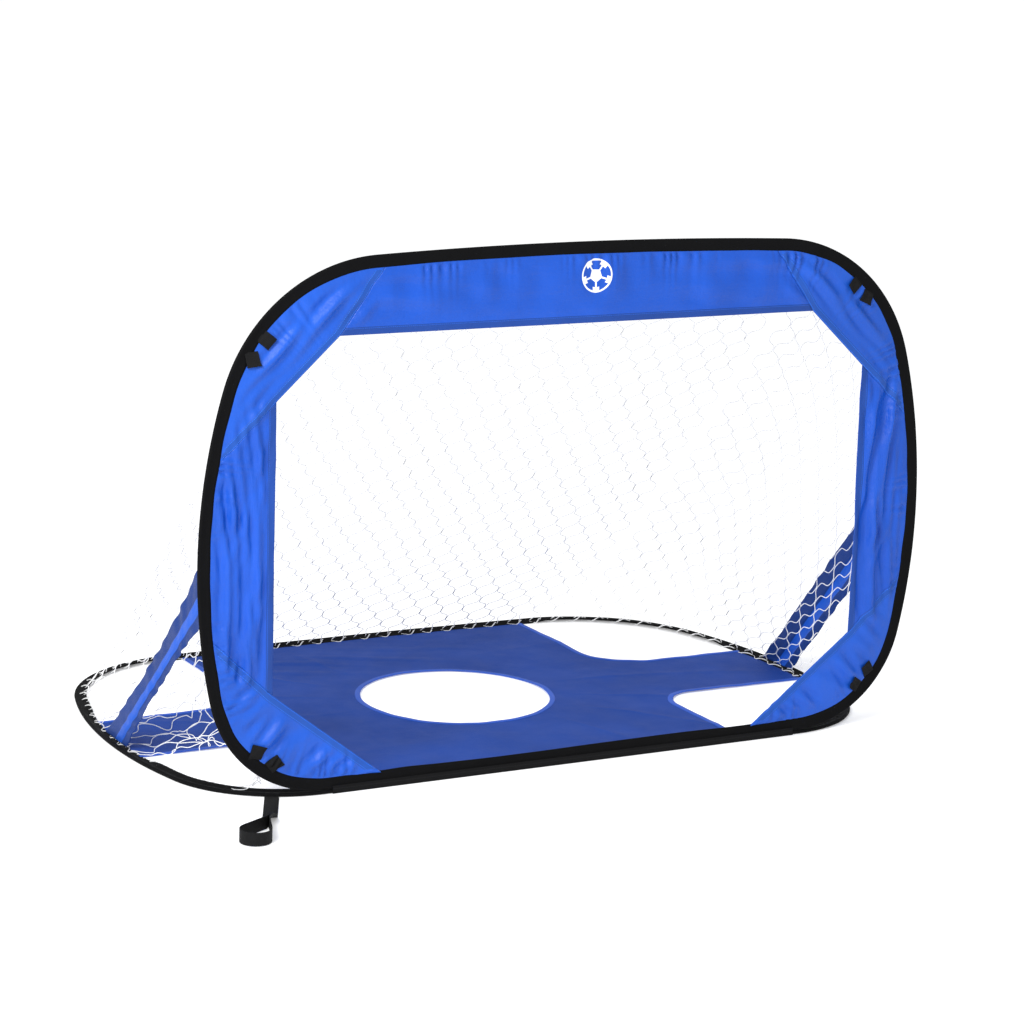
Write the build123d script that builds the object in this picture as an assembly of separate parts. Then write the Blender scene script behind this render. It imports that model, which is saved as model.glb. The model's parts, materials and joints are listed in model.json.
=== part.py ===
from build123d import *
import math
import os

# Pop up goal: two spring-wire hoops in fabric sleeves, sewn together along their straight front
# runs. One hoop stands up and frames the mouth, the other lies on the ground and frames the
# target sheet. A net and two fabric stays run from hoop to hoop. Millimetres, +Z up, the goal
# faces -Y. The origin is on the ground, under the middle of the base hoop's front run.

# Overall size
goal_width = 1230.0
goal_height = 800.0
goal_depth = 800.0

# Hoop outline: a straight front run, then four tangent arcs on each side. The headings are the
# directions, in degrees from +X, at which one arc hands over to the next.
lower_corner_radius = 187.0
upper_corner_radius = 257.0
corner_to_side = 77.5
side_to_upper_corner = 106.2
upper_corner_to_top = 177.5

# Sleeve section: a round nose that holds the spring wire, and a flat sewn strip inside it
sleeve_width = 19.0
nose_radius = 3.0
strip_thickness = 1.6
channel_radius = 2.4
wire_radius = 1.75
front_taper_angle = 70.0
base_taper_angle = 60.0

# Wire joint
ferrule_length = 50.0
ferrule_radius = 2.35
ferrule_bore = 1.8
wire_end_gap = 2.0

# Where the standing hoop sits on the lying one
running_gap = 0.3
front_edge_y = -sleeve_width / 2
base_thickness = 2 * nose_radius
hinge_z = base_thickness + running_gap + nose_radius
hinge_y = front_edge_y + running_gap + nose_radius
hinge_tape_half = 400.0
hinge_tape_thickness = 1.0

# Mouth of the goal, in the standing hoop's own plane: across, and up from its lower edge
mouth_half_width = 497.0
mouth_top = 672.0
mouth_top_corner = 400.0
mouth_side_upper = 582.0
mouth_side_lower = 152.0
mouth_foot = 322.0
upper_seam_hoop = (322.0, 780.0)
side_seam_hoop = (577.0, 505.0)
lower_seam_hoop = (590.0, 240.0)
panel_thickness = 1.2
hem_width = 11.0
hem_thickness = 2.0

# Webbing tabs at the four corners
tab_width = 20.0
tab_length = 27.0
tab_thickness = 1.5
tab_splay = 9.0
tab_spacing = 26.0
tab_inset = 13.0
tab_headings = {"upper_right": 138.0, "upper_left": 125.0, "lower_right": 46.0, "lower_left": 37.0}

# Target sheet on the ground
sheet_thickness = 1.2
hole_radius = 155.0
hole_y = 385.0
binding_width = 9.0
rear_cut = (325.0, 462.0, 95.0)
front_cut = (318.0, 262.0, 55.0)

# Net, its border cords and the stays
net_inset = 14.0
net_thickness = 1.5
net_split = 400.0
net_lowest = 40.0
cord_radius = 1.2
stay_tops = {"left": (280.0, 370.0), "right": (335.0, 455.0)}
stay_foot = (305.0, 395.0)
stay_x = 603.0
stay_thickness = 1.2
fabric_clearance = 0.3

# Webbing strap with a loop end, sewn to the left front corner
strap_heading = 25.0
strap_width = 20.0
strap_thickness = 3.0
strap_tail = 150.0
anchor_thickness = 1.5
anchor_height = 7.0
loop_turn = 16.0
loop_reach = 62.0
loop_radius = 24.0
loop_wall = 2.0


def outline_arcs(height):
    """Centre, radius and headings of each right-hand arc of a hoop, and the half straight run."""
    turn = [math.radians(a) for a in (corner_to_side, side_to_upper_corner, upper_corner_to_top)]
    (s2, c2), (s3, c3), (s4, c4) = [(math.sin(a), math.cos(a)) for a in turn]
    half = goal_width / 2
    across = -half - upper_corner_radius * (s4 - s3)
    up = height - lower_corner_radius * (1 - c2) - upper_corner_radius * (c3 - c4)
    # side radius and top radius from: width is reached at heading 90, and the top closes at x = 0
    det = (s3 - 1) * (1 + c4) + s4 * (c2 - c3)
    side_radius = (across * (1 + c4) + s4 * up) / det
    top_radius = ((s3 - 1) * up - (c2 - c3) * across) / det
    half_run = half - lower_corner_radius * s2 - side_radius * (1 - s2)
    radii = (lower_corner_radius, side_radius, upper_corner_radius, top_radius)
    headings = (0.0, corner_to_side, side_to_upper_corner, upper_corner_to_top, 180.0)
    arcs = []
    x, y = half_run, 0.0
    for radius, begin, finish in zip(radii, headings, headings[1:]):
        a, b = math.radians(begin), math.radians(finish)
        centre = (x - radius * math.sin(a), y + radius * math.cos(a))
        arcs.append((centre, radius, begin, finish))
        x = centre[0] + radius * math.sin(b)
        y = centre[1] - radius * math.cos(b)
    return half_run, arcs


def outline_edges(height, inset):
    """The hoop outline moved inwards by inset, as the straight run and arcs, anticlockwise."""
    half_run, arcs = outline_arcs(height)
    right = [CenterArc(c, r - inset, begin - 90, finish - begin) for c, r, begin, finish in arcs]
    left = [CenterArc((-c[0], c[1]), r - inset, 270 - finish, finish - begin)
            for c, r, begin, finish in reversed(arcs)]
    return half_run, right + left


def outline_face(height, inset):
    half_run, arcs = outline_edges(height, inset)
    run = Line((-half_run, inset), (half_run, inset))
    return Face(Wire([run] + arcs))


def outline_path(height, inset):
    """The outline as a closed path that starts at the middle of the straight run."""
    half_run, arcs = outline_edges(height, inset)
    first = Line((0, inset), (half_run, inset))
    last = Line((-half_run, inset), (0, inset))
    return Wire([first] + arcs + [last])


def outline_point(height, heading, inset):
    """Point and outward normal on the right half of the outline at a heading."""
    for centre, radius, begin, finish in outline_arcs(height)[1]:
        if begin <= heading <= finish:
            a = math.radians(heading)
            normal = (math.sin(a), -math.cos(a))
            reach = radius - inset
            return (centre[0] + reach * normal[0], centre[1] + reach * normal[1]), normal


def stand_up(shape):
    """Turns a shape drawn flat so that it stands on the base hoop, thickness towards -Y."""
    return Pos(0, hinge_y, hinge_z - nose_radius) * Rot(90, 0, 0) * shape


def lay_down(shape):
    """Moves a shape drawn flat, middle height 0, to the base hoop's place on the ground."""
    return Pos(0, front_edge_y, nose_radius) * shape


def section_plane():
    return Plane(origin=(0, nose_radius, 0), x_dir=(0, 1, 0), z_dir=(1, 0, 0))


def sleeve_section(taper_angle, flat_bottom):
    """Nose, taper and strip: across the band from the wire centre, and through its thickness."""
    a = math.radians(taper_angle)
    touch = (nose_radius * math.cos(a), nose_radius * math.sin(a))
    inner_end = sleeve_width - nose_radius
    low = -nose_radius if flat_bottom else -strip_thickness / 2
    high = low + strip_thickness
    taper_end = touch[0] + (touch[1] - high) * math.tan(a)
    top = [Line(touch, (taper_end, high)), Line((taper_end, high), (inner_end, high)),
           Line((inner_end, high), (inner_end, low))]
    if flat_bottom:
        below = [Line((inner_end, low), (0, low))]
        nose = ThreePointArc((0, low), (-nose_radius, 0), touch)
    else:
        below = [Line((inner_end, low), (taper_end, low)), Line((taper_end, low), (touch[0], -touch[1]))]
        nose = ThreePointArc((touch[0], -touch[1]), (-nose_radius, 0), touch)
    return Face(Wire(top + below + [nose])) - Circle(channel_radius)


def sleeve(height, taper_angle, flat_bottom):
    section = section_plane() * sleeve_section(taper_angle, flat_bottom)
    return sweep(section, path=outline_path(height, nose_radius))


def hoop_wire(height):
    """The spring wire, whose two ends meet in the ferrule."""
    ring = sweep(section_plane() * Circle(wire_radius), path=outline_path(height, nose_radius))
    return ring - Pos(0, nose_radius, 0) * Box(wire_end_gap, 4 * wire_radius, 4 * wire_radius)


def hoop_ferrule():
    tube = Cylinder(ferrule_radius, ferrule_length) - Cylinder(ferrule_bore, ferrule_length)
    return Pos(0, nose_radius, 0) * Rot(0, 90, 0) * tube


def plate(face, thickness, low=None):
    """A flat piece cut from a face, centred on height 0 unless its underside is given."""
    start = -thickness / 2 if low is None else low
    return Pos(0, 0, start) * extrude(face, thickness, dir=(0, 0, 1))


def polygon(points):
    return make_face(Polyline(*points, close=True))


def mouth_face():
    foot = sleeve_width - 1.0
    right = [(mouth_foot, foot), (mouth_half_width, mouth_side_lower),
             (mouth_half_width, mouth_side_upper), (mouth_top_corner, mouth_top)]
    left = [(-x, y) for x, y in reversed(right)]
    return polygon(right + left)


def beyond(corner, through, reach=400.0):
    """The point reached by carrying the seam from a mouth corner past the hoop."""
    span = math.dist(corner, through)
    return tuple(c + (t - c) * reach / span for c, t in zip(corner, through))


def seam_fields():
    """One polygon for each of the seven face panels, bounded by the seams between them."""
    top = (mouth_top_corner, mouth_top)
    upper = (mouth_half_width, mouth_side_upper)
    lower = (mouth_half_width, mouth_side_lower)
    foot = (mouth_foot, sleeve_width - 1.0)
    top_far = beyond(top, upper_seam_hoop)
    upper_far = beyond(upper, side_seam_hoop)
    lower_far = beyond(lower, lower_seam_hoop)
    outside = (goal_width, goal_height)
    right = {
        "upper_right_gusset": [top, top_far, outside, upper_far, upper],
        "right_panel": [upper, upper_far, lower_far, lower],
        "lower_right_gusset": [lower, lower_far, (goal_width, -50.0), (mouth_foot, -50.0), foot],
    }
    fields = {"top_panel": [(-top[0], top[1]), (-top_far[0], top_far[1]), top_far, top]}
    for name, points in right.items():
        fields[name] = points
        fields[name.replace("right", "left")] = [(-x, y) for x, y in points]
    return {name: polygon(points) for name, points in fields.items()}


def face_panels(height):
    """The blue panels round the mouth and the hem along each one's inner edge."""
    inside = outline_face(height, sleeve_width)
    mouth = mouth_face()
    hemmed = offset(mouth, hem_width, kind=Kind.INTERSECTION)
    panel_ring = plate(inside, panel_thickness) - plate(hemmed, panel_thickness)
    hem_ring = plate(inside, hem_thickness) & plate(hemmed, hem_thickness)
    hem_ring = hem_ring - plate(mouth, hem_thickness)
    pieces = {}
    for name, field in seam_fields().items():
        cutter = plate(field, 4 * hem_thickness)
        pieces[name] = panel_ring & cutter
        pieces[name.replace("_panel", "") + "_hem"] = hem_ring & cutter
    return pieces


def corner_tabs(height, heading, side):
    """Two short webbing ends side by side, a little splayed, sewn to the sleeve's strip."""
    (x, y), normal = outline_point(height, heading, tab_inset)
    inward = math.degrees(math.atan2(-normal[1], -normal[0] * side))
    flat = Rectangle(tab_length, tab_width, align=(Align.MIN, Align.CENTER))
    tab = plate(flat, tab_thickness, strip_thickness / 2)
    place = Pos(x * side, y, 0) * Rot(0, 0, inward)
    return Compound(children=[place * Pos(0, turn * tab_spacing / 2, 0) * Rot(0, 0, turn * tab_splay) * tab
                              for turn in (-1, 1)])


def cut_face(corner, toward, radius, grow):
    """A corner opening in the sheet: its inner corner is rounded, and it runs out past the hoop."""
    x, y = corner[0] - grow, corner[1] - grow * toward
    far = y + toward * goal_depth
    face = polygon([(x, y), (goal_width, y), (goal_width, far), (x, far)])
    inner = min(face.vertices(), key=lambda v: abs(v.X - x) + abs(v.Y - y))
    return fillet(inner, radius + grow)


def target_sheet_pieces():
    """The sheet, with a round target hole and four corner openings, and their bindings."""
    inside = Pos(0, front_edge_y, 0) * outline_face(goal_depth, sleeve_width)
    hole = Pos(0, hole_y, 0) * Circle(hole_radius)
    bound_hole = Pos(0, hole_y, 0) * Circle(hole_radius + binding_width)
    sheet = plate(inside, sheet_thickness, 0) - plate(bound_hole, sheet_thickness, 0)
    pieces = {"centre_hole_binding": plate(bound_hole - hole, strip_thickness, 0)}
    for place, (x, y, radius), toward in (("rear", rear_cut, 1), ("front", front_cut, -1)):
        opening = plate(cut_face((x, y), toward, radius, 0.0), strip_thickness, 0)
        bound = plate(cut_face((x, y), toward, radius, binding_width), strip_thickness, 0)
        binding = (bound - opening) & plate(inside, strip_thickness, 0)
        sheet = sheet - bound - mirror(bound, about=Plane.YZ)
        pieces[place + "_right_binding"] = binding
        pieces[place + "_left_binding"] = mirror(binding, about=Plane.YZ)
    pieces["target_sheet"] = sheet
    return pieces


def border_cord(height, centre_height):
    """The net's border cord on the sleeve's strip, from one side round the far end to the other."""
    _, arcs = outline_edges(height, net_inset)
    path = Wire(arcs[1:-1])
    start = path @ 0
    along = path % 0
    section = Plane(origin=start, z_dir=along) * Circle(cord_radius)
    return Pos(0, 0, centre_height) * sweep(section, path=path)


def net_pieces(height):
    """The net as a thin wall: the hoop outline carried down at 45 degrees to the base hoop."""
    back_y = hinge_y + nose_radius + fabric_clearance
    lowest = base_thickness + 2 * fabric_clearance
    band = outline_face(height, net_inset) - outline_face(height, net_inset + net_thickness)
    wall = Pos(0, back_y, hinge_z - nose_radius) * Rot(90, 0, 0) * band
    reach = goal_height * math.sqrt(2)
    slope = extrude(wall, reach, dir=(0, 1, -1))
    high = Pos(0, 0, lowest) * Box(2 * goal_width, 4 * goal_depth, 2 * goal_height,
                                   align=(Align.CENTER, Align.CENTER, Align.MIN))
    slope = slope & high
    sides = Box(goal_width, 4 * goal_depth, 4 * goal_height, align=(Align.MIN, Align.CENTER, Align.CENTER))
    # the side nets start a little above the corner where the two hoops meet
    clear = Rot(-45, 0, 0) * Box(2 * goal_width, 4 * goal_depth, 4 * goal_height,
                                 align=(Align.CENTER, Align.CENTER, Align.MIN))
    upper = slope & (Pos(0, 0, net_lowest) * clear)
    right = upper & (Pos(net_split, 0, 0) * sides)
    left = upper & (Pos(-net_split - goal_width, 0, 0) * sides)
    middle = Box(2 * net_split, 4 * goal_depth, 4 * goal_height)
    return {"net_back": upper & middle, "net_left": left, "net_right": right}


def stay(name):
    """A fabric strip from the standing hoop's side down to the base hoop's side."""
    stay_top = stay_tops[name]
    front = hinge_y + nose_radius + fabric_clearance
    foot = base_thickness + 2 * fabric_clearance
    corners = [(front, stay_top[0]), (front, stay_top[1]), (stay_foot[1], foot), (stay_foot[0], foot)]
    strip = extrude(Plane.YZ * polygon(corners), stay_thickness, dir=(1, 0, 0))
    strip = Pos(stay_x, 0, 0) * strip
    return strip if name == "right" else mirror(strip, about=Plane.YZ)


def strap_frame():
    """Root point of the strap on the base hoop's outer edge, and its heading in degrees."""
    (x, y), normal = outline_point(goal_depth, strap_heading, 0.0)
    angle = math.degrees(math.atan2(normal[1], -normal[0]))
    return Pos(-x, y + front_edge_y, 0) * Rot(0, 0, angle)


def strap_anchor():
    """The end of the strap's webbing, sewn up the outside of the base hoop."""
    block = Box(anchor_thickness, strap_width, anchor_height, align=(Align.MIN, Align.CENTER, Align.MIN))
    return strap_frame() * block


def tether_strap():
    """The doubled tail of the strap, flat on the ground, and its loop standing on edge."""
    barrel = strap_thickness / 2
    hinge_x = anchor_thickness + running_gap + barrel
    tail = Pos(hinge_x, 0, barrel) * Box(strap_tail, strap_width, strap_thickness,
                                         align=(Align.MIN, Align.CENTER, Align.CENTER))
    tail += Pos(hinge_x, 0, barrel) * Rot(90, 0, 0) * Cylinder(barrel, strap_width)
    loop = loop_outline(loop_radius) - loop_outline(loop_radius - loop_wall)
    start = hinge_x + strap_tail - strap_width / 2
    ring = Pos(start, 0, 0) * Rot(0, 0, -loop_turn) * plate(loop, strap_width, 0)
    return strap_frame() * (tail + ring)


def loop_outline(radius):
    """A teardrop: a circle and the two lines that touch it from the end of the tail."""
    shrink = loop_radius - radius
    tip = shrink * loop_reach / loop_radius
    span = loop_reach - tip
    angle = math.acos(radius / span)
    touch = (loop_reach - radius * math.cos(angle), radius * math.sin(angle))
    sides = [Line((tip, 0), touch), Line((touch[0], -touch[1]), (tip, 0))]
    bend = ThreePointArc(touch, (loop_reach + radius, 0), (touch[0], -touch[1]))
    return Face(Wire([sides[0], bend, sides[1]]))


def hinge_tape():
    """Tape sewn up the front of both straight runs: the goal folds along it."""
    tape = Box(2 * hinge_tape_half, hinge_tape_thickness, 2 * base_thickness,
               align=(Align.CENTER, Align.MAX, Align.MIN))
    return Pos(0, front_edge_y, 0) * tape


def front_frame():
    height = goal_height - (hinge_z - nose_radius)
    pieces = {
        "front_sleeve": sleeve(height, front_taper_angle, False),
        "front_hoop_wire": hoop_wire(height),
        "front_hoop_ferrule": hoop_ferrule(),
        "net_head_cord": border_cord(height, -strip_thickness / 2 - cord_radius),
    }
    pieces.update(face_panels(height))
    for corner, heading in tab_headings.items():
        side = 1 if corner.endswith("right") else -1
        pieces[corner + "_tabs"] = corner_tabs(height, heading, side)
    return {name: stand_up(shape) for name, shape in pieces.items()}


def base_frame():
    pieces = {
        "base_sleeve": sleeve(goal_depth, base_taper_angle, True),
        "base_hoop_wire": hoop_wire(goal_depth),
        "base_hoop_ferrule": hoop_ferrule(),
        "net_foot_cord": border_cord(goal_depth, strip_thickness + cord_radius - nose_radius),
    }
    pieces = {name: lay_down(shape) for name, shape in pieces.items()}
    pieces.update(target_sheet_pieces())
    pieces["hinge_tape"] = hinge_tape()
    pieces["strap_anchor"] = strap_anchor()
    return pieces


def main():
    os.makedirs("parts", exist_ok=True)
    standing_height = goal_height - (hinge_z - nose_radius)
    pieces = front_frame()
    pieces.update(base_frame())
    pieces.update(net_pieces(standing_height))
    for side in stay_tops:
        pieces[side + "_stay"] = stay(side)
    pieces["tether_strap"] = tether_strap()
    for name, shape in pieces.items():
        export_step(shape, f"parts/{name}.step")
    print(len(pieces), "nodes")


main()
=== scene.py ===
import json
import math
import bpy
import numpy as np
from mathutils import Matrix, Vector


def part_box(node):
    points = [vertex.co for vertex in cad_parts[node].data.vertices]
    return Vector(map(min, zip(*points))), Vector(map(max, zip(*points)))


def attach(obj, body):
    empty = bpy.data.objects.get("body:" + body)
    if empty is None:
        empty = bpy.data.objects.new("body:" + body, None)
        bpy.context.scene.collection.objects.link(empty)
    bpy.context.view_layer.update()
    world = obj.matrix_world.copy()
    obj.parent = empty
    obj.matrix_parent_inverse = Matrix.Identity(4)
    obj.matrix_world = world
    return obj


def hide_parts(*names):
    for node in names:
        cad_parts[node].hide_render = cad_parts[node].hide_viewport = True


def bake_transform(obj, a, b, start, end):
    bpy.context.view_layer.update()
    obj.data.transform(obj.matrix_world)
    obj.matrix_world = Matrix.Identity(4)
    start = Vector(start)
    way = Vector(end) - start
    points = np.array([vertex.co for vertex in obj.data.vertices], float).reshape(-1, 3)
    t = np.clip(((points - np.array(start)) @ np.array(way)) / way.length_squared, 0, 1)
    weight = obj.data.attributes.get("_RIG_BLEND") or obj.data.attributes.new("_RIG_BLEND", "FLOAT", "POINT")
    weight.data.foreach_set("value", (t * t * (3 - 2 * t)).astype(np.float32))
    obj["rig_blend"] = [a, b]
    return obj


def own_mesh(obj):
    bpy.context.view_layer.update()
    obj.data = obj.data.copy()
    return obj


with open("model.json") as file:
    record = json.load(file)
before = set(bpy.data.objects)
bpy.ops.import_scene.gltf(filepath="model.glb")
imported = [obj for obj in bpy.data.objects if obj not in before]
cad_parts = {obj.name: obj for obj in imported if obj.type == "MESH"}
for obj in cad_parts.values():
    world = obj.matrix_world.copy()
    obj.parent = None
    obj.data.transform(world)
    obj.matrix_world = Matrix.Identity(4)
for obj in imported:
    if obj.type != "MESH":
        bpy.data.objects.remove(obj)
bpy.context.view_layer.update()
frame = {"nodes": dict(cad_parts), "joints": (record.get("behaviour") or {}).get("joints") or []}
print("frame loaded with", len(frame["nodes"]), "parts")

baseBody, frontBody, strapBody = "base_frame", "front_frame", "tether"
turnAround = 2 * math.pi


view = {"place": (-2.226, -3.946, 1.384), "turn": 28.19, "tilt": 12.41, "roll": 1.75,
        "lens": 108.6, "sensor": 36.0}
studio = {"floorSize": 240.0, "floorGap": 0.0004, "floorColour": (0.95, 0.95, 0.95),
          "floorGlow": 0.24, "skyColour": (0.98, 0.99, 1.0), "skyStrength": 0.84,
          "viewTransform": "Standard", "lampAt": (-2.3, -1.4, 2.1), "lampAim": (0.0, 0.1, 0.4),
          "lampPower": 88.0, "lampSize": 1.3}


def makeCamera():
    # turned clockwise from +Y, tilted down, then rolled about its own line of sight
    data = bpy.data.cameras.new("camera")
    data.lens, data.sensor_width = view["lens"], view["sensor"]
    data.clip_start, data.clip_end = 0.05, 100.0
    cam = bpy.data.objects.new("camera", data)
    bpy.context.scene.collection.objects.link(cam)
    turn = Matrix.Rotation(-math.radians(view["turn"]), 4, "Z")
    tilt = Matrix.Rotation(math.radians(90 - view["tilt"]), 4, "X")
    roll = Matrix.Rotation(math.radians(view["roll"]), 4, "Z")
    cam.matrix_world = Matrix.Translation(view["place"]) @ turn @ tilt @ roll
    bpy.context.scene.camera = cam


def makeStudio():
    # an even pale sky, one soft lamp that looks at its aim, and a wide floor just under the goal
    bpy.context.scene.view_settings.view_transform = studio["viewTransform"]
    world = bpy.data.worlds.new("studio")
    bpy.context.scene.world = world
    world.use_nodes = True
    sky = world.node_tree.nodes["Background"]
    sky.inputs["Color"].default_value = (*studio["skyColour"], 1)
    sky.inputs["Strength"].default_value = studio["skyStrength"]
    data = bpy.data.lights.new("softBox", "AREA")
    data.energy, data.size = studio["lampPower"], studio["lampSize"]
    lamp = bpy.data.objects.new("softBox", data)
    lamp.location = studio["lampAt"]
    aim = Vector(studio["lampAim"]) - lamp.location
    lamp.rotation_euler = aim.to_track_quat("-Z", "Y").to_euler()
    bpy.context.scene.collection.objects.link(lamp)
    half = studio["floorSize"] / 2
    mesh = bpy.data.meshes.new("floor")
    mesh.from_pydata([(-half, -half, 0), (half, -half, 0), (half, half, 0), (-half, half, 0)], [],
                     [(0, 1, 2, 3)])
    floor = bpy.data.objects.new("floor", mesh)
    floor.location.z = -studio["floorGap"]
    bpy.context.scene.collection.objects.link(floor)
    paint = Finish("floorPaint")
    paint.shader({"Base Color": (*studio["floorColour"], 1), "Roughness": 0.9, "Specular IOR Level": 0.1,
                  "Emission Color": (1, 1, 1, 1), "Emission Strength": studio["floorGlow"]})
    floor.data.materials.append(paint.material)


class Signal:
    # one node output; arithmetic on it adds Math nodes
    def __init__(self, finish, socket):
        self.finish, self.socket = finish, socket

    def maths(self, operation, *others):
        inputs = {0: self}
        inputs.update({i + 1: other for i, other in enumerate(others)})
        return self.finish.node("ShaderNodeMath", {"operation": operation}, inputs)

    def __add__(self, other):
        return self.maths("ADD", other)

    def __mul__(self, other):
        return self.maths("MULTIPLY", other)

    def __sub__(self, other):
        return self.maths("SUBTRACT", other)

    def __truediv__(self, other):
        return self.maths("DIVIDE", other)

    def __rsub__(self, other):
        return self.finish.node("ShaderNodeMath", {"operation": "SUBTRACT"}, {0: other, 1: self})

    def __abs__(self):
        return self.maths("ABSOLUTE")

    __radd__ = __add__
    __rmul__ = __mul__

    def wave(self, period):
        # sine with the given period
        return (self * (turnAround / period)).maths("SINE")

    def saw(self, period):
        # 0 to 1 over each period
        return (self / period).maths("FRACT")

    def step(self, low, high):
        # 0 below low, 1 above high, smooth between
        return self.finish.node("ShaderNodeMapRange", {"interpolation_type": "SMOOTHSTEP"},
                                {"Value": self, "From Min": low, "From Max": high})


class Finish:
    # one material; node() makes any node from its type, settings and inputs
    def __init__(self, name):
        self.material = bpy.data.materials.new(name)
        self.material.use_nodes = True
        self.tree = self.material.node_tree
        self.principled = self.tree.nodes["Principled BSDF"]

    def fill(self, node, inputs):
        for key, value in inputs.items():
            if isinstance(value, Signal):
                self.tree.links.new(value.socket, node.inputs[key])
            else:
                node.inputs[key].default_value = value

    def node(self, kind, settings, inputs, out=0):
        made = self.tree.nodes.new(kind)
        for key, value in settings.items():
            setattr(made, key, value)
        self.fill(made, inputs)
        return Signal(self, made.outputs[out])

    def shader(self, inputs):
        self.fill(self.principled, inputs)

    def mix(self, factor, first, second):
        return self.node("ShaderNodeMix", {"data_type": "RGBA"}, {0: factor, 6: first, 7: second}, 2)

    def place(self):
        return self.node("ShaderNodeTexCoord", {}, {}, 3)

    def cloth(self):
        # across and along the cloth, in metres, from the piece's own map
        return self.split(self.node("ShaderNodeUVMap", {"uv_map": "cloth"}, {}))[:2]

    def split(self, vector):
        made = self.tree.nodes.new("ShaderNodeSeparateXYZ")
        self.fill(made, {0: vector})
        return [Signal(self, socket) for socket in made.outputs]

    def noise(self, vector, scale, detail=2.0, roughness=0.5, stretch=(1, 1, 1)):
        if stretch != (1, 1, 1):
            vector = self.node("ShaderNodeVectorMath", {"operation": "MULTIPLY"}, {0: vector, 1: stretch})
        return self.node("ShaderNodeTexNoise", {}, {"Vector": vector, "Scale": scale, "Detail": detail,
                                                    "Roughness": roughness})

    def bump(self, height):
        # the height is in metres
        return self.node("ShaderNodeBump", {}, {"Strength": 1.0, "Distance": 1.0, "Height": height})


def tint(colour, share):
    # the colour times the share, opaque
    return tuple(min(1.0, c * share) for c in colour) + (1.0,)


# clothLook's dark and light are the darker and lighter blues of the painted wrinkle shade
clothLook = {"thread": 0.0009, "weave": 0.00006, "fibre": 900.0, "fibreDepth": 0.00004, "drift": 7.0,
             "crinkle": 26.0, "small": 85.0, "stitchDepth": 0.00025, "dark": 0.86, "light": 1.12,
             "shine": 1.3, "stitchLight": 2.2, "stripeEdge": 0.002}
# the gusset blue is the panel blue made lighter as painted sheen: the corners' bias-cut grain catches more
# light
blues = {"panel": (0.006, 0.068, 0.43), "gusset": (0.008, 0.077, 0.46), "hem": (0.007, 0.046, 0.25),
         "tape": (0.009, 0.066, 0.34), "sheet": (0.009, 0.046, 0.265), "binding": (0.022, 0.085, 0.45),
         "stay": (0.004, 0.030, 0.170)}
blacks = {"sleeve": (0.0028, 0.0028, 0.0032), "webbing": (0.0035, 0.0035, 0.0038)}


def clothFinish(name, colour, roughness, gloss, crease, stripe=None, stitches=None, printed=False,
                pull=(1, 1, 1)):
    # tone varies darker and lighter over the cloth as painted wrinkle shade, the fine fibre noise adds a
    # painted thread sheen, and a stripe, where given, is lighter as painted light through one layer of
    # cloth; creases, weave and fibre add up to its height. The weave is the product of two sines, one for
    # each set of threads;
    # pull stretches the creases
    finish = Finish(name)
    across, along = finish.cloth()
    place, pitch = finish.place(), 2 * clothLook["thread"]
    drift = finish.noise(place, clothLook["drift"], 3.0)
    fine = finish.noise(place, clothLook["fibre"], 2.0)
    crinkle = finish.noise(place, clothLook["crinkle"], 4.0, 0.55, pull)
    small = finish.noise(place, clothLook["small"], 3.0, 0.6)
    # painted wrinkle shade: broad noise patches darken and lighten the blue where folds would lose and catch
    # light
    shade = finish.mix(drift.step(0.3, 0.7), tint(colour, clothLook["dark"]),
                       tint(colour, clothLook["light"]))
    # painted thread sheen: the fine fibre noise blends the blue toward a lighter copy of itself
    shade = finish.mix(fine * 0.5, shade, tint(colour, clothLook["shine"]))
    if stripe is not None:
        middle, width, share = stripe
        # painted light: the stripe is made lighter by its share, as light from behind shows through the
        # stay's one layer of cloth there; the double edges stay darker
        paintedBacklitStripe = 1 - abs(along - middle).step(width - clothLook["stripeEdge"], width)
        shade = finish.mix(paintedBacklitStripe, shade, tint(colour, share))
    if printed:
        shade = ballPrint(finish, place, shade)
    height = across.wave(pitch) * along.wave(pitch) * clothLook["weave"]
    height = height + crinkle * crease + small * (crease * 0.35) + fine * clothLook["fibreDepth"]
    if stitches is not None:
        thread = stitchRows(across, along, stitches)
        shade = finish.mix(thread, shade, tint(colour, clothLook["stitchLight"]))
        height = height + thread * clothLook["stitchDepth"]
    finish.shader({"Base Color": shade, "Roughness": roughness + (crinkle - 0.5) * 0.2,
                   "Normal": finish.bump(height), "Specular IOR Level": gloss})
    return finish.material


stitching = {"length": 0.0032, "width": 0.0005, "gap": 0.25}


def stitchRows(across, along, rows):
    # short dashes along the piece at each row's distance from its edge
    dash = across.saw(stitching["length"])
    dash = dash.step(stitching["gap"] - 0.05, stitching["gap"] + 0.05)
    lines = [1 - abs(along - row).step(stitching["width"] * 0.6, stitching["width"]) for row in rows]
    total = lines[0]
    for line in lines[1:]:
        total = total.maths("MAXIMUM", line)
    return total * dash


ballMark = {"centre": (0.014, 0.7485), "radius": 0.024, "ring": 0.0022, "patch": 0.0085, "seam": 0.0011,
            "outerFrom": 0.0172, "outerHalf": 0.0052, "edge": 0.0004, "ink": (0.86, 0.87, 0.88, 1.0)}


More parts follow.
